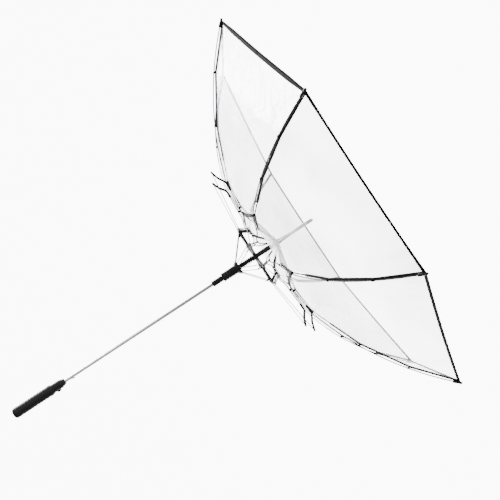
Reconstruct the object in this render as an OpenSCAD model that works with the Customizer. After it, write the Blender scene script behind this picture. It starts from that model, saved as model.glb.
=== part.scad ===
// Clear umbrella with eight ribs, its canopy turned inside out.
// Z runs up the shaft to the ferrule. The origin is the middle of the grip. Sizes are in millimetres.

/* [Frame] */
// Height of the crown, where the ribs meet, above the middle of the grip
crown_z = 680; // [600:10:760]
// Radius of the steel shaft
shaft_r = 4; // [3.8:0.1:4.2]
// Radius of the rib rods
rod_r = 1.3; // [1:0.1:1.4]
// Straight length of an inner rib beyond its bow
inner_run = 82.4; // [75:0.1:90]
// Bend radius of an outer rib
outer_bend = 683; // [600:1:800]
// Angle that an outer rib bends through
outer_turn = 29.7; // [26:0.1:33]

/* [Runner] */
// Length of an arm from the hub to its outer end
arm_length = 67.5; // [66:0.1:69]
// How far the hub's pivots lie below the crown
hub_drop = 56; // [54:1:58]
// How far the lower sleeve's pivots lie below the crown
sleeve_drop = 104; // [102:1:110]

/* [Canopy] */
// Thickness of the film
film_t = 0.5; // [0.4:0.1:1.4]
// Steps across one gore
film_steps = 6; // [2:2:8]

/* [Handle] */
// Radius of the grip
grip_r = 13; // [12:0.5:15]
// Length of the grip's straight part
grip_length = 96; // [94:1:100]

/* [Hidden] */
$fn = 32;
RIBS = 8;
GORE = 360 / RIBS;
RIB_KINDS = ["arm", "inner_rib", "brace", "outer_rib", "tie_wire"];

// Clearance of a sliding or turning fit, on the radius
fit = 0.07;
shaft_wall = 0.6;
pin_r = 0.9;
sleeve_pin = 0.7;
eye_half = 1.5;          // half width of the flat eyes that turn on a wire
plate_in = 1.9;          // the fork plates of the arms and knees lie from here ...
plate_out = 2.9;         // ... to here on both sides of a rib's plane
side_wire = 4.6;         // the thin wires run this far beside a rib's plane
wire_r = 1;
bead = 0.3;              // how far a bead stands out round a rod

crown_r = 12.5;          // circle of the inner ribs' pivots
hub_r = 10;              // circle of the arms' pivots
sleeve_r = 15;           // circle of the tie wires' pivots

// A rod's course is a list of moves: [straight length, bend radius, angle turned].
inner_start = [crown_r, 0, -45];
bow = [30, 55, 69];
inner_course = [bow, [0, 50, -20], [inner_run, 0, 0]];
knee = along(inner_course, len(inner_course), inner_start);
outer_start = [knee[0], knee[1], 14.2];
outer_course = [[0, outer_bend, outer_turn]];
tip = along(outer_course, 1, outer_start);

// Points of the linkage in a rib's plane, as [distance from the shaft, height above the crown]
arm_end = [hub_r + arm_length, -hub_drop];
bow_start = [crown_r + bow[0] * cos(45), -bow[0] * sin(45)];
bow_centre = bow_start + bow[1] * [sin(45), cos(45)];
link_x = 65;             // the link stands on the inner rib's bow at this distance
link_top = [link_x, bow_centre[1] - sqrt(pow(bow[1], 2) - pow(link_x - bow_centre[0], 2))];
lug = arm_end + [6, 0.6];
bracket_bend = [knee[0] + 19, knee[1] - 11.5];
bracket_tip = [knee[0] + 38, knee[1] - 17.5];
tie_foot = [sleeve_r, -sleeve_drop];
tie_top = [68.5, -62.5];

// Film, measured along the ribs
film_hole = 9;
film_lift = 3.6;         // the film lies this far above the rods' centre lines
tie_at = 125;            // where the film is tied to an inner rib
outer_ties = [0.37, 0.7, 1];   // shares of an outer rib's course where it is tied

// Place and heading after one move, from p = [x, z, heading]
function step(p, m) =
    let (way = m[2] < 0 ? -1 : 1, after = p[2] + m[2])
    [p[0] + m[0] * cos(p[2]) + way * m[1] * (sin(after) - sin(p[2])),
     p[1] + m[0] * sin(p[2]) - way * m[1] * (cos(after) - cos(p[2])),
     after];

// Place and heading after the first n moves of a course
function along(moves, n, p) = n == 0 ? p : step(along(moves, n - 1, p), moves[n - 1]);

// Point of an outer rib at a share of its course
function outer_at(share) = step(outer_start, [0, outer_bend, outer_turn * share]);

// Height of the film above the crown where its chords meet a rib at distance d
film_ties = concat(
    [[film_hole, 4.4], [tie_at, knee[1] - 4.8 + film_lift], [knee[0], knee[1] + film_lift]],
    [for (s = outer_ties) let (p = outer_at(s)) [p[0], p[1] + film_lift + 0.6]]
);
function film_z(d) = lookup(d, film_ties);

// The film is pressed down onto the knees' hinge lines, so that it can turn about them.
knee_reach = 45;
function film_dip(x, y) =
    (film_z(knee[0] + y * tan(GORE / 2)) - film_z(knee[0])) * exp(-pow((x - knee[0]) / knee_reach, 2));

// A point of the film on the chord that meets the ribs at distance d, at angle a from the nearest rib
function film_point(d, a) =
    let (r = d * cos(GORE / 2) / cos(GORE / 2 - abs(a)), x = r * cos(a), y = abs(r * sin(a)))
    [r, film_z(d) - film_dip(x, y)];

module at_crown() { translate([0, 0, crown_z]) children(); }
module at_rib(k) { at_crown() rotate(GORE * (k - 1)) children(); }
module each_rib() { for (k = [0:RIBS - 1]) rotate(GORE * k) children(); }

// A cylinder across a rib's plane, from y = from to y = to, at a point of that plane
module across(at, r, from, to) {
    translate([at[0], to, at[1]]) rotate([90, 0, 0]) cylinder(r = r, h = to - from);
}

// A bar in a rib's plane between two points, from y = from to y = to
module bar(a, b, width, from, to) {
    translate([a[0], 0, a[1]]) rotate([0, -atan2(b[1] - a[1], b[0] - a[0]), 0])
        translate([0, from, -width / 2]) cube([norm(b - a), to - from, width]);
}

// A flat strap along a line of points of a rib's plane, mitred at its bends, from y = from to y = to
function normal(a, b) = [a[1] - b[1], b[0] - a[0]] / norm(b - a);
function edge(line, off) = [for (i = [0:len(line) - 1])
    let (n = i == 0 ? normal(line[0], line[1]) : normal(line[i - 1], line[i]),
         s = n + (i == 0 || i == len(line) - 1 ? n : normal(line[i], line[i + 1])))
    line[i] + 2 * off * s / (s * s)];
module strap(line, width, from, to) {
    low = edge(line, -width / 2);
    translate([0, to, 0]) rotate([90, 0, 0]) linear_extrude(to - from)
        polygon(concat(edge(line, width / 2), [for (i = [len(line) - 1:-1:0]) low[i]]));
}

// A straight wire in a plane beside a rib's, between two points
module wire(a, b, r, y) {
    translate([a[0], y, a[1]]) rotate([0, 90 - atan2(b[1] - a[1], b[0] - a[0]), 0])
        cylinder(r = r, h = norm(b - a));
}

// A round rod that starts along X and follows a course's moves in the XZ plane, with a bead at each change
module bent_rod(moves, r, i = 0) {
    if (i < len(moves)) {
        m = moves[i];
        end = step([0, 0, 0], m);
        if (m[0] > 0) rotate([0, 90, 0]) cylinder(r = r, h = m[0]);
        if (m[2] != 0) translate([m[0], 0, 0]) rotate([m[2] < 0 ? 180 : 0, 0, 0])
            translate([0, 0, m[1]]) rotate([90, 90, 0])
                rotate_extrude(angle = abs(m[2])) translate([m[1], 0]) circle(r = r);
        if (m[0] > 0 && m[2] != 0) translate([m[0], 0, 0]) sphere(r = r + bead);
        translate([end[0], 0, end[1]]) rotate([0, -end[2], 0]) {
            if (i + 1 < len(moves)) sphere(r = r + bead);
            bent_rod(moves, r, i + 1);
        }
    }
}

module rod_from(start, moves, r) {
    translate([start[0], 0, start[1]]) rotate([0, -start[2], 0]) bent_rod(moves, r);
}

// A ring of hinge pins, one across each rib's plane, which stop just short of one another, or their bores
module ring_pins(r, pin, gap = 0) {
    half = (r - 1.2 * pin) * tan(GORE / 2) - 0.1 + 2 * gap;
    each_rib() across([r, 0], pin + gap, -half, half);
}

// A collar on the shaft from z = low to z = high
module collar(r, low, high, bore) {
    translate([0, 0, low]) difference() {
        cylinder(r = r, h = high - low);
        translate([0, 0, -1]) cylinder(r = bore, h = high - low + 2);
    }
}

// ---- Shaft and crown ----

module shaft() color("silver") translate([0, 0, -42]) difference() {
    cylinder(r = shaft_r, h = crown_z + 42 + 28);
    translate([0, 0, -1]) cylinder(r = shaft_r - shaft_wall, h = crown_z + 42 + 30);
}

module ferrule() color("gainsboro") at_crown() difference() {
    union() {
        translate([0, 0, 8.2]) cylinder(r = 7.5, h = 3);
        translate([0, 0, 11.2]) cylinder(r1 = 7.5, r2 = 5.4, h = 9);
        translate([0, 0, 20.2]) cylinder(r = 5, h = 14);
        translate([0, 0, 34]) cylinder(r = 4.5, h = 72);
        translate([0, 0, 106]) cylinder(r1 = 4.5, r2 = 3, h = 4);
    }
    translate([0, 0, 8]) cylinder(r = shaft_r + 0.05, h = 20.5);
}

module rosette() color("white") at_crown() difference() {
    union() {
        translate([0, 0, 5.6]) cylinder(r = 18, h = 0.9);
        translate([0, 0, 6.5]) cylinder(r1 = 15, r2 = 9, h = 1.5);
    }
    translate([0, 0, 5]) cylinder(r = shaft_r + 0.05, h = 4);
}

module rosette_ring() color("dimgray") at_crown() translate([0, 0, 6.9])
    rotate_extrude() translate([17.2, 0]) circle(r = 0.4);

module crown() color("black") at_crown() difference() {
    collar(15.5, -5, 2.4, shaft_r + 0.05);
    each_rib() translate([8.8, -1.8, -6]) cube([8, 3.6, 10]);
    ring_pins(crown_r, pin_r, 0.05);
}

module crown_pins() color("gray") at_crown() ring_pins(crown_r, pin_r);

// ---- Runner and lower sleeve ----

module hub() color("black") at_crown() difference() {
    collar(12.4, -hub_drop - 4.5, -hub_drop + 5, shaft_r + fit);
    each_rib() translate([6.8, -3.2, -hub_drop - 3.2]) cube([8, 6.4, 10]);
    translate([0, 0, -hub_drop]) ring_pins(hub_r, pin_r, 0.05);
}

module hub_pins() color("gray") at_crown() translate([0, 0, -hub_drop]) ring_pins(hub_r, pin_r);

module runner_tube() color("black") at_crown() collar(6, -hub_drop + 5.1, -9, shaft_r + fit);

// A coil of round wire as one swept tube
module coil(r, wire, turns, low, high, sides = 8, per_turn = 16) {
    n = turns * per_turn;
    points = [for (i = [0:n]) for (s = [0:sides - 1])
        let (a = 360 * i / per_turn, b = 360 * s / sides, d = r + wire * cos(b))
        [d * cos(a), d * sin(a), low + (high - low) * i / n + wire * sin(b)]];
    walls = [for (i = [0:n - 1]) for (s = [0:sides - 1])
        let (t = (s + 1) % sides) [i * sides + s, i * sides + t, (i + 1) * sides + t, (i + 1) * sides + s]];
    ends = [[for (s = [sides - 1:-1:0]) s], [for (s = [0:sides - 1]) n * sides + s]];
    polyhedron(points, concat(walls, ends), convexity = 10);
}

spring_low = -sleeve_drop + 2.5 - 14 + 1.2;
module spring() color("black") at_crown() coil(6.7, 0.9, 7, spring_low, -hub_drop - 5.7);

module lower_sleeve() color("black") at_crown() difference() {
    union() {
        translate([0, 0, -sleeve_drop - 3]) cylinder(r = 16.8, h = 5.5);
        translate([0, 0, -sleeve_drop - 9]) cylinder(r1 = 10.8, r2 = 16.8, h = 6);
        translate([0, 0, -150]) cylinder(r = 10.8, h = 150 - sleeve_drop);
    }
    translate([0, 0, -151]) cylinder(r = shaft_r + fit, h = 151);
    translate([0, 0, -sleeve_drop - 11.5]) cylinder(r = 8.4, h = 20);
    for (i = [0:2]) translate([0, 0, -142 + 7 * i])
        rotate_extrude() translate([11.6, 0]) circle(r = 1.4);
    each_rib() translate([12.6, -side_wire - 1.3, -sleeve_drop - 2.5]) cube([8, 2.6, 10]);
    translate([0, 0, -sleeve_drop]) ring_pins(sleeve_r, sleeve_pin, 0.05);
}

module sleeve_pins() color("gray") at_crown() translate([0, 0, -sleeve_drop]) ring_pins(sleeve_r, sleeve_pin);

module sleeve_tail() color("black") at_crown() difference() {
    union() {
        translate([0, 0, -177]) cylinder(r = 7, h = 26.9);
        translate([0, 0, -179]) cylinder(r1 = 5.6, r2 = 7, h = 2);
    }
    translate([0, 0, -180]) cylinder(r = shaft_r + fit, h = 40);
}

// ---- One rib, drawn in the XZ plane with the crown at the origin ----

// Channel with its web near the hub and a fork round the link at its outer end
module arm() color("black") difference() {
    union() {
        for (y = [-plate_out, plate_in]) {
            foot = [hub_r, -hub_drop];
            bar(foot, arm_end, 5.6, y, y + plate_out - plate_in);
            across(foot, 2.9, y, y + plate_out - plate_in);
            across(arm_end, 2.7, y, y + plate_out - plate_in);
        }
        translate([hub_r + 6, -plate_in - 0.2, -hub_drop - 2.6]) cube([36, 2 * plate_in + 0.4, 1]);
        across(arm_end, 1.5, -plate_out - 0.5, -plate_out);
        across(arm_end, 1.5, plate_out, plate_out + 0.5);
        bar(tie_top + [0, 6.5], tie_top, 5, -plate_out, -plate_in);
        across(tie_top, 2.5, -plate_out, -plate_in);
    }
    across([hub_r, -hub_drop], pin_r + fit, -5, 5);
}

module inner_rib() color("dimgray") {
    difference() {
        union() {
            rod_from(inner_start, [bow, [0, 50, -20], [inner_run - 15, 0, 0]], rod_r);
            across([crown_r, 0], 2.3, -eye_half, eye_half);
        }
        across([crown_r, 0], pin_r + fit, -5, 5);
    }
    tang = [cos(knee[2]), sin(knee[2])];
    at = [knee[0], knee[1]];
    bar(at - 22 * tang, at - 7 * tang, 4.4, -plate_in, plate_in);
}

// What is fixed to an inner rib: the link to the arm, the truss wire and the knee's two cheeks
module brace() color("black") {
    at = [knee[0], knee[1]];
    tang = [cos(knee[2]), sin(knee[2])];
    strap([lug, arm_end, link_top], 3.6, 0.2 - eye_half, eye_half - 0.2);
    across(arm_end, 2.7, -eye_half, eye_half);
    across(link_top, 2.6, -eye_half, eye_half);
    across(lug, 1.4, -eye_half, side_wire + 0.9);
    wire(lug, bracket_tip, wire_r, side_wire);
    across(bracket_tip, 1.3, plate_in + 0.2, side_wire + 0.9);
    for (y = [-plate_out, plate_in]) {
        strap([at - 20 * tang, at, bracket_bend, bracket_tip, 1.1 * bracket_tip - 0.1 * bracket_bend],
              4.8, y, y + plate_out - plate_in);
        across(at, 2.6, y - (y < 0 ? 0.4 : -0.2), y + plate_out - plate_in + (y < 0 ? -0.2 : 0.4));
    }
    across(at, pin_r, -plate_in - 0.3, plate_in + 0.3);
    for (s = [12, 18]) {
        across(at - s * tang, 1.2, -plate_out - 0.4, -plate_out + 0.3);
        across(at - s * tang, 1.2, plate_out - 0.3, plate_out + 0.4);
    }
}

// A rod with an eye at the knee and a cap on its tip
module outer_rib() color("dimgray") {
    difference() {
        union() {
            rod_from(outer_start, outer_course, rod_r);
            across([knee[0], knee[1]], 2.6, -eye_half, eye_half);
        }
        across([knee[0], knee[1]], pin_r + fit, -5, 5);
    }
    translate([tip[0], 0, tip[1]]) rotate([0, 90 - tip[2], 0]) {
        translate([0, 0, -8]) cylinder(r = 2.5, h = 16);
        translate([0, 0, 8]) sphere(r = 2.5);
    }
}

module tie_wire() color("gray") {
    difference() {
        union() {
            wire(tie_foot, tie_top, wire_r, -side_wire);
            across(tie_foot, 1.8, -side_wire - 0.8, -side_wire + 0.8);
            across(tie_top, 1.8, -side_wire - 0.8, -side_wire + 0.8);
        }
        across(tie_foot, sleeve_pin + fit, -10, 0);
    }
}

// ---- Canopy ----

// Closed sheet of film: rings of points at set distances along the ribs, above and below
module canopy() color("aliceblue", 0.35) at_crown() {
    rings = concat([film_hole, 40, 80, tie_at, 160, knee[0] - 12],
                   [for (i = [0:12]) knee[0] + (tip[0] - knee[0]) * i / 12]);
    columns = RIBS * film_steps;
    total = len(rings) * columns;
    points = [for (up = [0, film_t]) for (d = rings) for (c = [0:columns - 1])
        let (turn = 360 * c / columns,
             a = (c % film_steps) * GORE / film_steps,
             p = film_point(d, a > GORE / 2 ? a - GORE : a))
        [p[0] * cos(turn), p[0] * sin(turn), p[1] + up]];
    quads = [for (i = [0:len(rings) - 2]) for (c = [0:columns - 1])
        let (n = (c + 1) % columns)
        [i * columns + c, (i + 1) * columns + c, (i + 1) * columns + n, i * columns + n]];
    under = [for (q = quads) for (f = [[q[0], q[1], q[2]], [q[0], q[2], q[3]]]) f];
    over = [for (f = under) [f[2] + total, f[1] + total, f[0] + total]];
    last = (len(rings) - 1) * columns;
    rims = [for (c = [0:columns - 1]) let (n = (c + 1) % columns) for (f = [
        [c, n, n + total], [c, n + total, c + total],
        [last + c, last + n + total, last + n], [last + c, last + c + total, last + n + total]]) f];
    polyhedron(points, concat(under, over, rims), convexity = 6);
}

// ---- Handle ----

handle_low = -grip_length / 2;
collar_low = grip_length / 2;
button_z = collar_low + 14;
button_r = 5;
cap_r = grip_r - 0.3;

module handle() color("black") difference() {
    union() {
        translate([0, 0, handle_low]) cylinder(r = grip_r, h = grip_length);
        translate([0, 0, collar_low]) cylinder(r1 = grip_r, r2 = 10.5, h = 4);
        translate([0, 0, collar_low + 4]) cylinder(r = 10.5, h = 22);
        translate([0, 0, collar_low + 26]) cylinder(r1 = 10.5, r2 = 6.5, h = 12);
    }
    translate([0, 0, handle_low + 5]) cylinder(r = shaft_r + 0.05, h = 200);
    translate([6, 0, button_z]) rotate([0, 90, 0]) cylinder(r = button_r + 0.1, h = 10);
}

module handle_cap() color("black") translate([0, 0, handle_low - 8]) {
    translate([0, 0, 4]) cylinder(r = cap_r, h = 4);
    cylinder(r1 = cap_r - 2.5, r2 = cap_r, h = 4);
}

module catch() color("gray") translate([0, 0, collar_low + 48]) rotate([90, 0, 0])
    translate([0, 0, -1]) linear_extrude(2)
        polygon([[shaft_r + 0.02, 0], [shaft_r + 2.4, 11], [shaft_r + 2.4, 13], [shaft_r + 0.02, 14]]);

module button() color("black") translate([9.4, 0, button_z]) rotate([0, 90, 0]) {
    cylinder(r = button_r, h = 4);
    translate([0, 0, 4]) cylinder(r1 = button_r, r2 = button_r - 1, h = 1);
}

module button_spring() color("gray") translate([6.5, 0, button_z]) rotate([0, 90, 0])
    coil(3.2, 0.3, 3, 0, 2.3);

shaft();
ferrule();
rosette();
rosette_ring();
crown();
crown_pins();
canopy();
hub();
hub_pins();
runner_tube();
spring();
lower_sleeve();
sleeve_pins();
sleeve_tail();
handle();
handle_cap();
catch();
button();
button_spring();
for (k = [1:RIBS]) {
    at_rib(k) arm();
    at_rib(k) inner_rib();
    at_rib(k) brace();
    at_rib(k) outer_rib();
    at_rib(k) tie_wire();
}
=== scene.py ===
# %% [markdown]
# # A clear umbrella, turned inside out
# The object is an automatic stick umbrella whose canopy of clear film has been blown inside out. The working frame
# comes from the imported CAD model: shaft, ribs, arms, links and handle. This script adds what a drawing of the parts
# leaves out: the film, its black bindings and ties, the wound spring, turned and moulded shapes, and every finish.

# %% Load the frame
import math

import bpy
import numpy as np
from mathutils import Matrix, Vector


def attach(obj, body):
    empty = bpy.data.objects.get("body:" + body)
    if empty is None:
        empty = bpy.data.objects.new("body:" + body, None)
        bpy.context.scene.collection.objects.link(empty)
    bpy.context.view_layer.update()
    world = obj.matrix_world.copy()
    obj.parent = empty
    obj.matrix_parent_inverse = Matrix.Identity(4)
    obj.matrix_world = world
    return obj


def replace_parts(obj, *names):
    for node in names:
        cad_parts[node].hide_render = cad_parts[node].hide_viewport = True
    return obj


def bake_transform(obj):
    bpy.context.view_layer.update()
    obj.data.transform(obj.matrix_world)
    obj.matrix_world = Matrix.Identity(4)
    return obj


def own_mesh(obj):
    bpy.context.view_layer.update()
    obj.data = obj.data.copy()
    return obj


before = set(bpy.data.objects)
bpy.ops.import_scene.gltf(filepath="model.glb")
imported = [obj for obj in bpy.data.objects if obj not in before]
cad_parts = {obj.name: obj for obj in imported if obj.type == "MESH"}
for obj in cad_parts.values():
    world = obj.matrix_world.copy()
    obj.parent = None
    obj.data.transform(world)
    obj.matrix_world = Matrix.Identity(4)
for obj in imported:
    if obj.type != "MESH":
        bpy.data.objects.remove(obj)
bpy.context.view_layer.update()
RIBS = 8
GORE = 2 * math.pi / RIBS
HALF_TAN = math.tan(GORE / 2)
CROWN_Z = 0.680

# %% [markdown]
# ## The camera
# The camera stands a little below the crown's level and looks across the open cup. The umbrella is a straight-axis
# object, so its place in the view is three angles and one point: how far the shaft leans in the view, how far it
# points away from the viewer, how far the ribs are turned about it, and where the crown is in front of the lens.
# The crown's own axes are written as the columns of a matrix in the camera's space, and its inverse places the camera.

# %% Place the camera
LEAN, AWAY, TURN = (math.radians(a) for a in (33.145, 3.129, 21.249))
CROWN_IN_VIEW = np.array([0.05985, -0.0148, 1.676])   # metres right, down and away from the lens

axis = np.array([math.cos(AWAY) * math.cos(LEAN), -math.cos(AWAY) * math.sin(LEAN), math.sin(AWAY)])
level = np.array([math.sin(LEAN), math.cos(LEAN), 0.0])
third = np.cross(axis, level)
rib_1 = math.cos(TURN) * level + math.sin(TURN) * third
in_view = np.column_stack([rib_1, np.cross(axis, rib_1), axis])
camera = bpy.data.objects.new("camera", bpy.data.cameras.new("camera"))
bpy.context.scene.collection.objects.link(camera)
place = -in_view.T @ CROWN_IN_VIEW + [0, 0, CROWN_Z]
turned = in_view.T @ np.diag([1.0, -1.0, -1.0])
camera.matrix_world = Matrix.Translation(place) @ Matrix(turned.tolist()).to_4x4()
camera.data.lens = 50.08
camera.data.sensor_width = 36
bpy.context.scene.camera = camera
print("camera at", np.round(place, 3))

# %% [markdown]
# ## Light and backdrop
# Black enamel and clear film are drawn by what they reflect. A white room gives the even, bright surroundings, and
# large soft lamps put the long streaks on the film. Far behind the object stands a glowing white backdrop.

# %% Room, lamps and backdrop
scene = bpy.context.scene
world = bpy.data.worlds.new("room")
scene.world = world
world.use_nodes = True
world.node_tree.nodes["Background"].inputs["Color"].default_value = (1, 1, 1, 1)
world.node_tree.nodes["Background"].inputs["Strength"].default_value = 0.5
to_world = np.array(camera.matrix_world)[:3, :3]
crown = np.array([0.0, 0.0, CROWN_Z])


def square_lamp(name, target, away, size, power):
    """A square soft lamp at the sum of two vectors, target and away. Its own Z follows away, so it shines at target."""
    light = bpy.data.lights.new(name, "AREA")
    light.energy, light.size = power, size
    made = bpy.data.objects.new(name, light)
    scene.collection.objects.link(made)
    made.location = target + away
    made.rotation_euler = Vector(away).to_track_quat("Z", "Y").to_euler()
    return made


def lamp(name, right, up, back, size, power):
    """A square lamp, placed from the crown along the camera's own directions and aimed at the crown."""
    return square_lamp(name, crown, to_world @ np.array([right, up, back]), size, power)


lamp("key", 1.4, 2.2, 2.2, 2.4, 110)
lamp("fill", -2.4, 0.6, 2.4, 2.4, 60)
lamp("rim", 0.6, 1.8, -2.4, 1.6, 30)


def backdrop_sheet(size, away):
    """A square facing the camera, centred behind the crown and far larger than the view."""
    half = size / 2
    corners = np.array([[-half, -half, -away], [half, -half, -away], [half, half, -away], [-half, half, -away]])
    mesh = bpy.data.meshes.new("backdrop")
    mesh.from_pydata((crown + corners @ to_world.T).tolist(), [], [(0, 1, 2, 3)])
    made = bpy.data.objects.new("backdrop", mesh)
    scene.collection.objects.link(made)
    return made


backdrop = backdrop_sheet(14, 4)
print("lamps 3, backdrop 1")

# %% [markdown]
# ## Shader maths as Python expressions
# A node tree is a formula, so it reads best as one. The class below wraps a socket: adding, subtracting or
# multiplying two of them, or a socket and a number, puts down the Math node that does it. Every other node comes from
# one function that takes the node's type, its settings and the values or links of its sockets.

# %% The socket class and the material builder
class Wire:
    """A node's output socket. Arithmetic on it adds Math nodes to the same tree."""

    def __init__(self, tree, socket):
        self.tree, self.socket = tree, socket

    def _math(self, kind, first, second):
        return node(self.tree, "ShaderNodeMath", {"operation": kind}, {0: first, 1: second})

    def __add__(self, other):
        return self._math("ADD", self, other)

    def __sub__(self, other):
        return self._math("SUBTRACT", self, other)

    def __rsub__(self, other):
        return self._math("SUBTRACT", other, self)

    def __mul__(self, other):
        return self._math("MULTIPLY", self, other)

    __radd__, __rmul__ = __add__, __mul__


def plug(tree, target, value):
    """Links a Wire to an input, or sets the input's own value."""
    if isinstance(value, Wire):
        tree.links.new(value.socket, target)
    else:
        target.default_value = value


def node(tree, kind, settings=(), inputs=(), output=0):
    """Adds one node: settings are its properties, inputs its sockets by name or number, output the socket returned."""
    made = tree.nodes.new(kind)
    for key, value in dict(settings).items():
        setattr(made, key, value)
    for key, value in dict(inputs).items():
        plug(tree, made.inputs[key], value)
    return Wire(tree, made.outputs[output])


def material(name, look):
    """A new material. look(tree, sockets) sets the sockets of its Principled shader."""
    made = bpy.data.materials.new(name)
    made.use_nodes = True
    tree = made.node_tree
    shader = tree.nodes["Principled BSDF"]
    look(tree, shader.inputs)
    return made


def place_of(tree, scale=(1, 1, 1)):
    """Object coordinates, in metres from the grip, scaled by a Mapping node."""
    where = node(tree, "ShaderNodeTexCoord", output="Object")
    return node(tree, "ShaderNodeMapping", {}, {"Vector": where, "Scale": scale})


def noise(tree, where, scale, detail=3.0, rough=0.55, distortion=0.0):
    """Fractal noise from 0 to 1."""
    values = {"Vector": where, "Scale": scale, "Detail": detail, "Roughness": rough, "Distortion": distortion}
    return node(tree, "ShaderNodeTexNoise", {}, values)


def shade(tree, mask, dark, light):
    """dark + mask x (light - dark), for a mask from 0 to 1. A Mix node's colours are its inputs 6 and 7, its output 2."""
    return node(tree, "ShaderNodeMix", {"data_type": "RGBA"}, {0: mask, 6: (*dark, 1), 7: (*light, 1)}, output=2)


def bump(tree, height, distance, strength=1.0):
    """A Bump node for the shader's Normal socket."""
    return node(tree, "ShaderNodeBump", {}, {"Strength": strength, "Distance": distance, "Height": height})


print("shader helpers ready")

# %% [markdown]
# ## Finishes
# Steel wire in enamel shows dull patches that differ at random. The film is soft vinyl: hazy, glossy, lightly creased,
# and it shows a grey haze where several layers lie behind one another. Its haze is an Alpha below one, with gloss from
# the shader and creases from a Bump node. The plated shaft keeps long fine polishing lines along its length.

# %% Metal finishes
def enamel(tree, sockets):
    """Black enamel on pressed steel: roughness is 0.26 plus 0.2 of a patchy noise."""
    where = place_of(tree)
    patches = noise(tree, where, 60)
    fine = noise(tree, where, 900, 2)
    plug(tree, sockets["Base Color"], shade(tree, patches, (0.004, 0.0045, 0.005), (0.013, 0.014, 0.015)))
    plug(tree, sockets["Roughness"], 0.26 + patches * 0.2)
    plug(tree, sockets["Normal"], bump(tree, fine, 0.00015, 0.4))
    sockets["Specular IOR Level"].default_value = 0.12


def rod_steel(tree, sockets):
    """Darkened spring steel, rougher at a millimetre's scale: roughness is 0.3 plus 0.22 of a fine noise."""
    where = place_of(tree)
    patches = noise(tree, where, 45)
    fine = noise(tree, where, 1100, 2)
    plug(tree, sockets["Base Color"], shade(tree, patches, (0.004, 0.0045, 0.005), (0.014, 0.015, 0.016)))
    plug(tree, sockets["Roughness"], 0.3 + fine * 0.22)
    plug(tree, sockets["Normal"], bump(tree, fine, 0.0001, 0.4))
    sockets["Specular IOR Level"].default_value = 0.12


def plated(tree, sockets):
    """Bright plating with polishing lines: noise squeezed across the shaft and stretched 60 times along it."""
    lines = noise(tree, place_of(tree, (700, 700, 12)), 1, 2)
    cloud = noise(tree, place_of(tree), 25)
    plug(tree, sockets["Base Color"], shade(tree, cloud, (0.50, 0.46, 0.46), (0.72, 0.68, 0.68)))
    plug(tree, sockets["Roughness"], 0.1 + lines * 0.16)
    plug(tree, sockets["Normal"], bump(tree, lines, 0.00004, 0.5))
    sockets["Metallic"].default_value = 1.0


def bare_wire(tree, sockets):
    """Uncoated steel wire: a metal whose grey and roughness follow one noise."""
    cloud = noise(tree, place_of(tree), 300)
    plug(tree, sockets["Base Color"], shade(tree, cloud, (0.30, 0.30, 0.31), (0.55, 0.55, 0.56)))
    plug(tree, sockets["Roughness"], 0.25 + cloud * 0.2)
    sockets["Metallic"].default_value = 1.0


ENAMEL = material("black_enamel", enamel)
ROD = material("dark_rod_steel", rod_steel)
PLATED = material("bright_plating", plated)
WIRE = material("bare_wire", bare_wire)
print("metal finishes 4")


# %% Plastics, film and bindings
def film_look(tree, sockets):
    """Clear vinyl: alpha is 0.24 plus 0.7 of the haze squared, and creases with a fine ripple feed the bump."""
    where = place_of(tree)
    haze = noise(tree, where, 5, 4, 0.6, 0.4)
    creases = noise(tree, where, 16, 5, 0.55, 1.6)
    fine = noise(tree, place_of(tree, (1, 1, 1.8)), 70, 3, 0.5, 0.8)
    plug(tree, sockets["Base Color"], shade(tree, haze, (0.80, 0.81, 0.82), (0.88, 0.885, 0.895)))
    plug(tree, sockets["Alpha"], 0.24 + haze * haze * 0.7)
    plug(tree, sockets["Roughness"], 0.06 + fine * 0.14)
    plug(tree, sockets["Normal"], bump(tree, creases + fine * 0.12, 0.006, 0.5))
    sockets["IOR"].default_value = 1.5
    sockets["Specular IOR Level"].default_value = 0.6


def milky(tree, sockets):
    """Milky plastic that lets a little light by: alpha is 0.8 plus 0.15 of a cloudy noise."""
    cloud = noise(tree, place_of(tree), 90)
    plug(tree, sockets["Base Color"], shade(tree, cloud, (0.72, 0.73, 0.75), (0.86, 0.87, 0.88)))
    plug(tree, sockets["Roughness"], 0.25 + cloud * 0.15)
    plug(tree, sockets["Alpha"], 0.8 + cloud * 0.15)
    sockets["IOR"].default_value = 1.49


def moulding(tree, sockets):
    """Satin black plastic: roughness is 0.2 plus 0.18 of a cloudy noise."""
    where = place_of(tree)
    cloud = noise(tree, where, 120)
    fine = noise(tree, where, 1500, 2)
    plug(tree, sockets["Base Color"], shade(tree, cloud, (0.004, 0.004, 0.0045), (0.011, 0.011, 0.012)))
    plug(tree, sockets["Roughness"], 0.2 + cloud * 0.18)
    plug(tree, sockets["Normal"], bump(tree, fine, 0.0001, 0.3))
    sockets["Specular IOR Level"].default_value = 0.15


def grip_look(tree, sockets):
    """Soft black grip with a pebbled skin: the pebbles raise the bump and the roughness together."""
    where = place_of(tree)
    pebble = noise(tree, where, 1400, 2, 0.5, 0.3)
    cloud = noise(tree, where, 40)
    plug(tree, sockets["Base Color"], shade(tree, cloud, (0.006, 0.006, 0.0065), (0.014, 0.014, 0.015)))
    plug(tree, sockets["Roughness"], 0.42 + pebble * 0.25)
    plug(tree, sockets["Normal"], bump(tree, pebble, 0.0003, 0.6))
    sockets["Specular IOR Level"].default_value = 0.15


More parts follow.
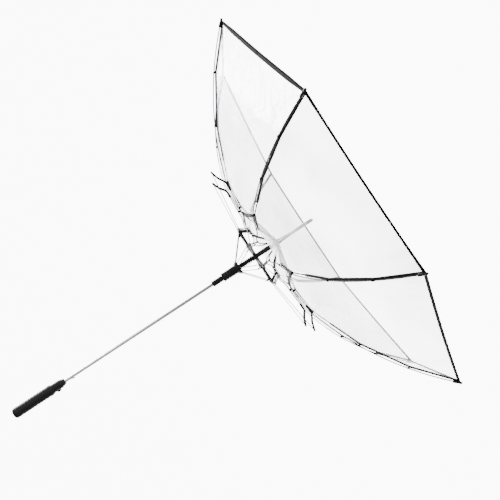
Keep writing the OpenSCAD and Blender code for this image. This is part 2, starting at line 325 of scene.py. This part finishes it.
def binding_look(tree, sockets):
    """Woven tape: two crossing sets of threads about half a millimetre apart, from the piece's UV map in metres."""
    place = node(tree, "ShaderNodeTexCoord", output="UV")
    along, across = (node(tree, "ShaderNodeSeparateXYZ", {}, {0: place}, output=i) for i in (0, 1))
    turns = 2 * math.pi / 0.0006
    weft = node(tree, "ShaderNodeMath", {"operation": "SINE"}, {0: along * turns})
    warp = node(tree, "ShaderNodeMath", {"operation": "SINE"}, {0: across * turns})
    weave = weft * warp * 0.5 + 0.5
    cloud = noise(tree, place_of(tree), 150)
    plug(tree, sockets["Base Color"], shade(tree, cloud, (0.002, 0.002, 0.0023), (0.006, 0.006, 0.0065)))
    plug(tree, sockets["Roughness"], 0.6 + weave * 0.25)
    plug(tree, sockets["Normal"], bump(tree, weave, 0.0002, 0.5))
    sockets["Specular IOR Level"].default_value = 0.05


def backdrop_look(tree, sockets):
    """A plain white sheet that glows, so that the film has something bright behind it."""
    sockets["Base Color"].default_value = (1, 1, 1, 1)
    sockets["Emission Color"].default_value = (1, 1, 1, 1)
    sockets["Emission Strength"].default_value = 10.0


FILM = material("clear_vinyl_film", film_look)
MILKY = material("milky_moulding", milky)
MOULDED = material("black_moulding", moulding)
GRIP = material("soft_black_grip", grip_look)
BINDING = material("black_binding_tape", binding_look)
backdrop.data.materials.append(material("white_backdrop", backdrop_look))
print("plastics 3, film 1, tape 1")

# %% [markdown]
# ## Surfaces from arrays
# Every new shape is a grid of points: one direction runs along the piece and the other round or across it. The grid is
# worked out as one array and handed to the mesh whole. Lathed parts are a profile turned about the shaft. Tapes, ties
# and wires are a profile carried along a path.

# %% Grid, lathe and sweep
def grid_faces(rows, columns, closed=False):
    """Quads of a grid of points numbered row by row. closed joins the last column to the first."""
    i = np.arange(rows - 1)[:, None] * columns
    j = np.arange(columns if closed else columns - 1)[None, :]
    k = (j + 1) % columns
    return np.stack([i + j, i + k, i + columns + k, i + columns + j], axis=-1).reshape(-1, 4)


def piece(name, points, faces, finish, uv=None, triangles=()):
    """A mesh object from arrays of points and faces, with a finish and an optional UV pair for each point."""
    mesh = bpy.data.meshes.new(name)
    mesh.from_pydata(points.reshape(-1, 3).tolist(), [], faces.tolist() + [list(t) for t in triangles])
    if uv is not None:
        corner = np.zeros(len(mesh.loops), np.int32)
        mesh.loops.foreach_get("vertex_index", corner)
        layer = mesh.uv_layers.new(name="UVMap")
        layer.uv.foreach_set("vector", uv.reshape(-1, 2)[corner].astype(np.float32).ravel())
    mesh.polygons.foreach_set("use_smooth", np.full(len(mesh.polygons), True))
    mesh.materials.append(finish)
    made = bpy.data.objects.new(name, mesh)
    scene.collection.objects.link(made)
    return made


def lathe(name, outline, finish, segments=64):
    """outline is a list of [radius, height]. It is turned about Z into a skin closed all the way round, and its two
    ends get no caps.
    """
    outline = np.array(outline, float)
    a = np.arange(segments) * 2 * np.pi / segments
    r, z = outline[:, :1], np.repeat(outline[:, 1:], segments, axis=1)
    points = np.stack([r * np.cos(a), r * np.sin(a), z], axis=-1)
    return piece(name, points, grid_faces(len(outline), segments, closed=True), finish)


def sweep(path, normal, profile):
    """Points of a profile [toward normal, sideways] carried along a path, one row for each of the path's points."""
    ahead = np.gradient(path, axis=0)
    ahead /= np.linalg.norm(ahead, axis=1, keepdims=True)
    side = np.cross(ahead, normal)
    side /= np.linalg.norm(side, axis=1, keepdims=True)
    up = np.cross(side, ahead)
    return path[:, None] + up[:, None] * profile[None, :, :1] + side[:, None] * profile[None, :, 1:]


def swept(name, path, normal, profile, finish, fat=1.0):
    """A swept piece closed with flat fans at its ends, fat times its profile. UVs are metres along it and round it."""
    rings = path[:, None] + (sweep(path, normal, profile) - path[:, None]) * np.reshape(fat, (-1, 1, 1))
    rows, columns = rings.shape[:2]
    along = np.concatenate([[0], np.cumsum(np.linalg.norm(np.diff(path, axis=0), axis=1))])
    round_it = np.concatenate([[0], np.cumsum(np.linalg.norm(np.diff(profile, axis=0), axis=1))])
    uv = np.stack(np.broadcast_arrays(along[:, None], round_it[None, :]), axis=-1).reshape(-1, 2)
    j = np.arange(columns)
    k, last, hub = (j + 1) % columns, (rows - 1) * columns, rows * columns
    head = np.column_stack([np.full(columns, hub), k, j]).tolist()
    tail = np.column_stack([np.full(columns, hub + 1), last + j, last + k]).tolist()
    points = np.concatenate([rings.reshape(-1, 3), rings[[0, -1]].mean(1)])
    uv = np.concatenate([uv, uv[[0, last]]])
    return piece(name, points, grid_faces(rows, columns, closed=True), finish, uv, head + tail)


def oval(half_thick, half_wide, points=12, power=1.0):
    """A closed oval outline, [thickness, width]. A power below 1 squares its corners."""
    a = -np.arange(points) * 2 * np.pi / points
    c, s = np.cos(a), np.sin(a)
    return np.stack([half_thick * np.sign(c) * abs(c) ** power, half_wide * np.sign(s) * abs(s) ** power], axis=-1)


def spin(points, k):
    """Turns points about Z to rib k, counted from 1."""
    a = GORE * (k - 1)
    turn = np.array([[math.cos(a), -math.sin(a), 0], [math.sin(a), math.cos(a), 0], [0, 0, 1]])
    return points @ turn.T


print("surface helpers ready")

# %% [markdown]
# ## The film's shape
# Between two ribs the film is pulled straight, so every line across a gore is a chord. Along a rib it is tied in a few
# places and runs straight from one tie to the next, while the rod bows outside it. The sheet is cut along the middle
# of each gore and at the knees, because each strip has to follow its own rib when the umbrella moves. On the line of
# the knees' hinges the film lies in the hinge line, so that it can turn there without opening.

# %% Rib course and film height
KNEE = np.array([0.194023, -0.022619])          # from the shaft, and above the crown
OUTER_BEND, OUTER_HEADING, OUTER_TURN = 0.683, math.radians(14.2), math.radians(29.7)
FILM_HOLE, FILM_LIFT, INNER_TIE = 0.009, 0.0036, 0.125
OUTER_TIES = np.array([0.37, 0.7, 1.0])
HEM_HOLLOW = 0.002                              # how far a hem's middle is drawn in from the chord
KNEE_REACH = 0.045


def outer_course(share):
    """Points of an outer rib's arc at shares of its length, as [distance from the shaft, height above the crown]."""
    heading = OUTER_HEADING + OUTER_TURN * np.asarray(share, float)
    across = KNEE[0] + OUTER_BEND * (np.sin(heading) - math.sin(OUTER_HEADING))
    return np.stack([across, KNEE[1] + OUTER_BEND * (math.cos(OUTER_HEADING) - np.cos(heading))], axis=-1)


TIP = outer_course(1.0)
tie_points = np.array([[FILM_HOLE, 0.0046], [INNER_TIE, KNEE[1] - 0.0046 + FILM_LIFT], [KNEE[0], KNEE[1] + FILM_LIFT]])
tie_points = np.concatenate([tie_points, outer_course(OUTER_TIES) + [0, FILM_LIFT + 0.0008]])


def film_height(d):
    """Height of the film above the crown, on a rib at distance d."""
    return np.interp(d, tie_points[:, 0], tie_points[:, 1])


def film_surface(x, y):
    """Points of the film for a rib along X: the chord through (x, y) meets the rib at d, and has the film's height there."""
    d = x + abs(y) * HALF_TAN
    dip = film_height(KNEE[0] + abs(y) * HALF_TAN) - film_height(KNEE[0])
    z = film_height(d) - dip * np.exp(-((x - KNEE[0]) / KNEE_REACH) ** 2)
    return np.stack([x, y, z + CROWN_Z], axis=-1)


def rim_x(share, d):
    """Distance along the rib's direction where the chord that meets the rib at d crosses the line of a share."""
    return d / (1 + abs(share) * HALF_TAN ** 2)


print("tip", np.round(TIP, 4), "ties", np.round(tie_points, 3).tolist())

# %% [markdown]
# ## The film
# Each rib carries one strip of film, half a gore wide on both sides, in six lengths. When the runner folds the ribs
# the strips would have to narrow, more near the knee than at the rim; BANDS lists a share for each length, but nothing
# here gathers them. The one at the crown is fixed to no rib. Past each knee the strip has a slot under the binding,
# which lets the bracket's two cheeks through when the outer rib turns over: y0(x) is 6.3 mm, and closes over 6 mm.

# %% Make the film strips
BANDS = {"crown": (None, 0.032, None), "neck": (0.032, 0.110, 0.69), "inner": (0.110, KNEE[0], 0.69),
         "knee": (KNEE[0], 0.250, 0.77), "middle": (0.250, 0.330, 0.87), "rim": (0.330, None, 0.96)}
HALF_ACROSS = np.linspace(0, 1, 17)
ACROSS = np.concatenate([-HALF_ACROSS[::-1], HALF_ACROSS])
SIDE = np.repeat([-1.0, 1.0], len(HALF_ACROSS))
SLOT_HALF, SLOT_LONG, SLOT_CLOSES = 0.0063, 0.042, 0.006


def slot_half(x):
    """Half the slot's width at distance x: whole past the knee, and closed by a smooth step."""
    t = np.clip((x - KNEE[0] - SLOT_LONG) / SLOT_CLOSES, 0, 1)
    return np.where(x < KNEE[0], 0.0, SLOT_HALF * (1 - t * t * (3 - 2 * t)))


def strip_points(band, rows=30):
    """A band of the strip for a rib along X, in two halves side by side. None is the crown's hole or the hem."""
    low, high, _ = BANDS[band]
    start = rim_x(ACROSS, FILM_HOLE) if low is None else np.full(len(ACROSS), low)
    hem = TIP[0] - HEM_HOLLOW * (1 - (1 - abs(ACROSS)) ** 2)
    end = rim_x(ACROSS, hem) if high is None else np.full(len(ACROSS), high)
    x = start + (end - start) * np.linspace(0, 1, rows)[:, None]
    near = slot_half(x) if band == "knee" else 0.0
    return film_surface(x, SIDE * (near + abs(ACROSS) * (x * HALF_TAN - near)))


def strip_faces(rows, columns):
    """The grid's quads, without the ones between the two halves."""
    quads = grid_faces(rows, columns).reshape(rows - 1, columns - 1, 4)
    return np.delete(quads, columns // 2 - 1, axis=1).reshape(-1, 4)


def area_of(points):
    """Area of a grid of points."""
    a, b = points[1:, :-1] - points[:-1, :-1], points[:-1, 1:] - points[:-1, :-1]
    return float(np.linalg.norm(np.cross(a, b), axis=-1).sum())


def gather(made, k):
    """Gives a piece its own copy of its mesh."""
    a = GORE * (k - 1)
    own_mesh(made)


def film_strip(k, band):
    """One length of rib k's strip, with its x and y along its rib as UVs. All lengths but the crown's are fixed to the
    rib that moves them.
    """
    local = strip_points(band)
    points = spin(local, k)
    uv = local[..., :2]
    made = piece(f"film_{band}_{k}", points, strip_faces(*points.shape[:2]), FILM, uv=uv)
    inner = f"inner_rib_{k}"
    if band == "crown":
        hold, turn = (spin(np.array([x, 0.0, CROWN_Z]), k).tolist() for x in (0.011, 0.031))
        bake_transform(made)
    else:
        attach(made, inner if band in ("neck", "inner") else f"outer_rib_{k}")
        gather(made, k)
    return made


films = [film_strip(k, band) for k in range(1, RIBS + 1) for band in BANDS]
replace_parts(films[0], "canopy")
print("film strips", len(films), "area of one rib's film", round(sum(area_of(strip_points(b)) for b in BANDS), 4))

# %% [markdown]
# ## One lamp for the long glints
# The gore that turns away from the viewer mirrors a lamp: it stands where a ray from the camera goes after it has met
# the film, r = d - 2 (d . n) n, with d the ray's direction and n the film's normal at the middle of that gore.

# %% Place the glint lamp
def glint_lamp(k, x, share, reach, size, power):
    """A square lamp at the mirror direction of the film of rib k at distance x and a share of the half gore."""
    here, right, up = (spin(film_surface(np.array(a), np.array(b)), k) for a, b in (
        (x, share * x * HALF_TAN), (x + 0.01, share * x * HALF_TAN), (x, share * x * HALF_TAN + 0.01)))
    normal = np.cross(right - here, up - here)
    normal /= np.linalg.norm(normal)
    ray = here - np.array(camera.location)
    ray /= np.linalg.norm(ray)
    mirrored = ray - 2 * ray.dot(normal) * normal
    return square_lamp("glint", here, reach * mirrored, size, power)


glint = glint_lamp(5, 0.37, 0.75, 2.4, 0.7, 120)
print("glint lamp at", np.round(glint.location, 2))

# %% [markdown]
# ## Bindings, hem and ties
# A black tape binds the seam over each rib, and a folded tape binds the rim. Thread ties hold the film to the rods.
# All of them are swept ovals. The tape over a rib is in two lengths that meet at the knee.

# %% Rib bindings and hem
TAPE_HALF, TAPE_THICK = 0.0030, 0.0021
HEM_HALF, HEM_THICK = 0.0031, 0.0020
ROLLED = {5: 1.55, 6: 0.8}                      # how fat the wind has rolled the rim after these ribs


def rib_tape(k, part):
    """Tape along the seam over rib k, straight from tie to tie, and half as wide between the bracket's cheeks."""
    inner = part == "inner"
    ends = (0.019, KNEE[0] + 0.002) if inner else (KNEE[0] - 0.001, TIP[0] - 0.001)
    x = np.linspace(*ends, 60)
    path = np.stack([x, np.zeros_like(x), film_height(x) + CROWN_Z + TAPE_THICK / 3], axis=-1)
    flat_up = np.broadcast_to([0.0, 0.0, 1.0], path.shape)
    fat = 1.0 if inner else np.interp(x - KNEE[0], [SLOT_LONG, SLOT_LONG + SLOT_CLOSES], [0.5, 1.0])
    profile = oval(TAPE_THICK, TAPE_HALF, 14, 0.5)
    made = swept(f"rib_binding_{part}_{k}", spin(path, k), flat_up, profile, BINDING, fat)
    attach(made, f"{part}_rib_{k}")
    return made


def hem(k):
    """Folded tape round the rim of one strip, from the middle of one gore to the middle of the next."""
    share = np.linspace(-1, 1, 81)
    line = TIP[0] - HEM_HOLLOW * (1 - (1 - abs(share)) ** 2) - 0.0005
    x = rim_x(share, line)
    path = film_surface(x, share * x * HALF_TAN)
    up = np.broadcast_to([-0.56, 0.0, 0.83], path.shape)
    before, after = ROLLED.get((k - 2) % RIBS + 1, 1.0), ROLLED.get(k, 1.0)
    fat = np.interp(share, [-0.3, 0.0, 0.3], [before, 1.0, after])
    made = swept(f"hem_{k}", spin(path, k), spin(up, k), oval(HEM_THICK, HEM_HALF, 14, 0.5), BINDING, fat)
    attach(made, f"outer_rib_{k}")
    gather(made, k)
    return made


tapes = [rib_tape(k, part) for k in range(1, RIBS + 1) for part in ("inner", "outer")]
hems = [hem(k) for k in range(1, RIBS + 1)]
print("bindings", len(tapes), "hems", len(hems))


# %% Thread ties and tip caps
def tie(name, k, at, body, reach):
    """Thread wound four times round the rod and the tape at a point [x, z] of rib k: an oval helix."""
    t = np.linspace(0, 4, 97)
    a = 2 * np.pi * t
    path = np.stack([at[0] + 0.0009 * (t - 2), 0.0026 * np.sin(a),
                     CROWN_Z + at[1] + reach / 2 + (reach / 2 + 0.002) * np.cos(a)], axis=-1)
    sideways = np.broadcast_to([1.0, 0.0, 0.0], path.shape)
    made = swept(name, spin(path, k), spin(sideways, k), oval(0.00048, 0.00048, 8), BINDING)
    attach(made, body)
    return made


def tip_cap(k):
    """Moulded cap on a rib's tip: a sleeve with a waist and a ball end, turned about the rod's own line."""
    s = np.linspace(0, np.pi / 2, 8)
    outline = np.array([[0.0014, -0.0100], [0.0029, -0.0098], [0.0031, -0.0090], [0.0031, 0.0], [0.0026, 0.0015],
                        [0.0026, 0.0040], [0.0030, 0.0055], [0.0030, 0.0075]])
    ball = np.stack([0.0030 * np.cos(s[1:]), 0.0075 + 0.0030 * np.sin(s[1:])], axis=-1)
    outline = np.concatenate([outline, ball])
    a = np.arange(20) * 2 * np.pi / 20
    r, along = outline[:, :1], np.repeat(outline[:, 1:], 20, axis=1)
    heading = OUTER_HEADING + OUTER_TURN
    out, up = r * np.cos(a), r * np.sin(a)
    points = np.stack([TIP[0] + along * math.cos(heading) + up * -math.sin(heading), out,
                       CROWN_Z + TIP[1] + along * math.sin(heading) + up * math.cos(heading)], axis=-1)
    made = piece(f"tip_cap_{k}", spin(points, k), grid_faces(len(outline), 20, closed=True)[:, ::-1], MOULDED)
    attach(made, f"outer_rib_{k}")
    return made


ties = []
for k in range(1, RIBS + 1):
    ties.append(tie(f"tie_inner_{k}", k, [INNER_TIE, KNEE[1] - 0.0046], f"inner_rib_{k}", FILM_LIFT))
    for n, at in enumerate(outer_course(OUTER_TIES[:2])):
        ties.append(tie(f"tie_outer_{n + 1}_{k}", k, at, f"outer_rib_{k}", FILM_LIFT + 0.001))
caps = [tip_cap(k) for k in range(1, RIBS + 1)]
print("ties", len(ties), "caps", len(caps))

# %% [markdown]
# ## Crown, ferrule and spring
# The disc at the crown is a small ruffled washer of milky plastic that clamps the film. The ferrule is turned from
# bright tube with a flared foot and two fine grooves. The spring is round wire wound eleven times: the frame's own
# spring is a coarse stand-in, so a finer one takes its place, over a black liner. Both are fixed to the runner and move
# with it.

# %% Rosette, ferrule and spring
def rosette():
    """A scalloped, slightly dished disc: its edge swings in and out and up and down eight times round."""
    r = np.concatenate([np.linspace(0.0046, 0.0175, 14), np.linspace(0.0175, 0.0046, 14)])[:, None]
    a = np.arange(128)[None, :] * 2 * np.pi / 128
    under = np.repeat([0.0, 1.0], 14)[:, None]
    swing = (r / 0.0175) ** 3
    radius = r * (1 + 0.05 * np.cos(RIBS * a) * swing)
    height = 0.0068 + 0.0016 * np.cos(RIBS * a) * swing * 0.5 - 0.0009 * under + 0.0012 * (1 - swing)
    points = np.stack([radius * np.cos(a), radius * np.sin(a), np.broadcast_to(height, radius.shape) + CROWN_Z], axis=-1)
    made = piece("rosette_disc", points, grid_faces(28, 128, closed=True)[:, ::-1], MILKY)
    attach(made, "root")
    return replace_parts(made, "rosette")


def ferrule():
    """The spike above the crown, as a turned outline."""
    mm = [[4.1, 8.0], [7.4, 8.0], [7.6, 8.4], [7.6, 10.6], [7.2, 11.2], [6.3, 15.5], [5.6, 20.0], [5.2, 21.0], [5.2, 33.0],
          [4.9, 34.2], [4.5, 34.8], [4.5, 60.0], [4.25, 60.4], [4.25, 61.0], [4.5, 61.4], [4.5, 64.0], [4.25, 64.4],
          [4.25, 65.0], [4.5, 65.4], [4.5, 105.2], [4.2, 106.6], [3.2, 109.0], [1.6, 109.9], [0.05, 110.0]]
    outline = np.array(mm) / 1000 + [0, CROWN_Z]
    made = lathe("ferrule_spike", outline, PLATED, 48)
    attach(made, "root")
    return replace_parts(made, "ferrule")


def spring():
    """Round wire along a helix, with closed end turns: the pitch eases in and out over the first and last turn."""
    low, high = CROWN_Z - 0.1140, CROWN_Z - 0.0608
    turns, wire, radius = 11.0, 0.0014, 0.0062
    t = np.linspace(0, 1, 11 * 36 + 1)
    ends = np.interp(t, [0, 0.09, 0.91, 1], [0, 0.055, 0.945, 1])
    a = 2 * np.pi * turns * t
    path = np.stack([radius * np.cos(a), radius * np.sin(a), low + wire + (high - low - 2 * wire) * ends], axis=-1)
    outward = np.stack([np.cos(a), np.sin(a), np.zeros_like(a)], axis=-1)
    made = swept("coil_spring", path, outward, oval(wire, wire, 12), ENAMEL)
    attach(made, "runner")
    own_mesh(made)
    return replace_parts(made, "spring")


def spring_liner():
    """A black elastic sock inside the spring, with a fold for each coil: radius 5.1 mm plus a half-millimetre wave."""
    low, high = CROWN_Z - 0.1138, CROWN_Z - 0.0608
    z = np.linspace(low, high, 133)
    wave = 0.0051 + 0.0005 * np.cos(2 * np.pi * 11 * (z - low) / (high - low))
    outline = np.concatenate([[[0.0044, low]], np.stack([wave, z], axis=-1), [[0.0044, high]]])
    made = lathe("spring_liner", outline, MOULDED, 40)
    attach(made, "runner")
    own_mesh(made)
    return made


turned_parts = [rosette(), ferrule(), spring(), spring_liner()]
print("turned parts", [p.name for p in turned_parts])

# %% [markdown]
# ## The handle
# A straight moulded grip with shallow rings for the fingers, a collar that carries the push button, and a domed end.
# Each is an outline turned about the shaft.

# %% Grip, end cap and button
def grip_outline():
    """Straight grip with ring grooves, each a half cosine deep, then the collar's taper up to the shaft."""
    z = np.linspace(-0.040, 0.040, 161)
    groove = 0.0007 * (0.5 - 0.5 * np.cos(2 * np.pi * (z + 0.040) / 0.008))
    body = np.stack([0.0130 - groove, z], axis=-1)
    low = [[0.0042, -0.0478], [0.0128, -0.0478], [0.0130, -0.0470], [0.0130, -0.0405]]
    high = [[0.0130, 0.0415], [0.0130, 0.0480], [0.0119, 0.0500], [0.0106, 0.0520], [0.0105, 0.0735],
            [0.0103, 0.0745], [0.0085, 0.0800], [0.0067, 0.0855], [0.0062, 0.0860], [0.0042, 0.0860]]
    return np.concatenate([low, body, high])


def handle():
    """The moulded grip, turned from its outline."""
    made = lathe("moulded_grip", grip_outline(), GRIP, 72)
    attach(made, "root")
    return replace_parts(made, "handle")


def end_cap():
    """Domed cap with a raised bead where it meets the grip."""
    s = np.linspace(0, np.pi / 2, 12)
    dome = np.stack([0.0122 * np.sin(s), -0.0520 - 0.0038 * np.cos(s)], axis=-1)
    dome[0, 0] = 0.00005
    rest = [[0.0125, -0.0514], [0.0127, -0.0505], [0.0127, -0.0492], [0.0124, -0.0486], [0.0122, -0.0480], [0.0042, -0.0480]]
    made = lathe("grip_end_cap", np.concatenate([dome, rest]), MOULDED, 64)
    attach(made, "root")
    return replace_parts(made, "handle_cap")


def button():
    """A domed push button whose axis is X."""
    mm = [[4.8, 9.4], [5.0, 9.6], [5.0, 12.9], [4.7, 13.5], [3.8, 14.0], [2.4, 14.3], [0.02, 14.4]]
    outline = np.array(mm) / 1000
    a = np.arange(32) * 2 * np.pi / 32
    r, x = outline[:, :1], np.repeat(outline[:, 1:], 32, axis=1)
    points = np.stack([x, r * np.cos(a), 0.062 + r * np.sin(a)], axis=-1)
    made = piece("push_button", points, grid_faces(len(outline), 32, closed=True), MOULDED)
    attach(made, "button")
    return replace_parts(made, "button")


grips = [handle(), end_cap(), button()]
print("handle pieces", [p.name for p in grips])

# %% [markdown]
# ## Finishes for the frame's own parts
# The rods, arms, links and wires of the frame already have their true shape. Each gets a finish by its name.

# %% Dress the frame's nodes
FINISHES = {"shaft": PLATED, "catch": WIRE, "crown_pins": WIRE, "hub_pins": WIRE, "sleeve_pins": WIRE,
            "button_spring": WIRE, "crown": MOULDED, "hub": MOULDED, "runner_tube": MOULDED,
            "lower_sleeve": MOULDED, "sleeve_tail": MOULDED, "rosette_ring": MOULDED}
KINDS = {"arm": ENAMEL, "inner_rib": ROD, "brace": ENAMEL, "outer_rib": ROD, "tie_wire": ENAMEL}
for name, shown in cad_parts.items():
    finish = FINISHES.get(name) or KINDS.get(name.rsplit("_", 1)[0])
    if finish is not None:
        shown.data.materials.clear()
        shown.data.materials.append(finish)
print("frame nodes dressed", len(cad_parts))
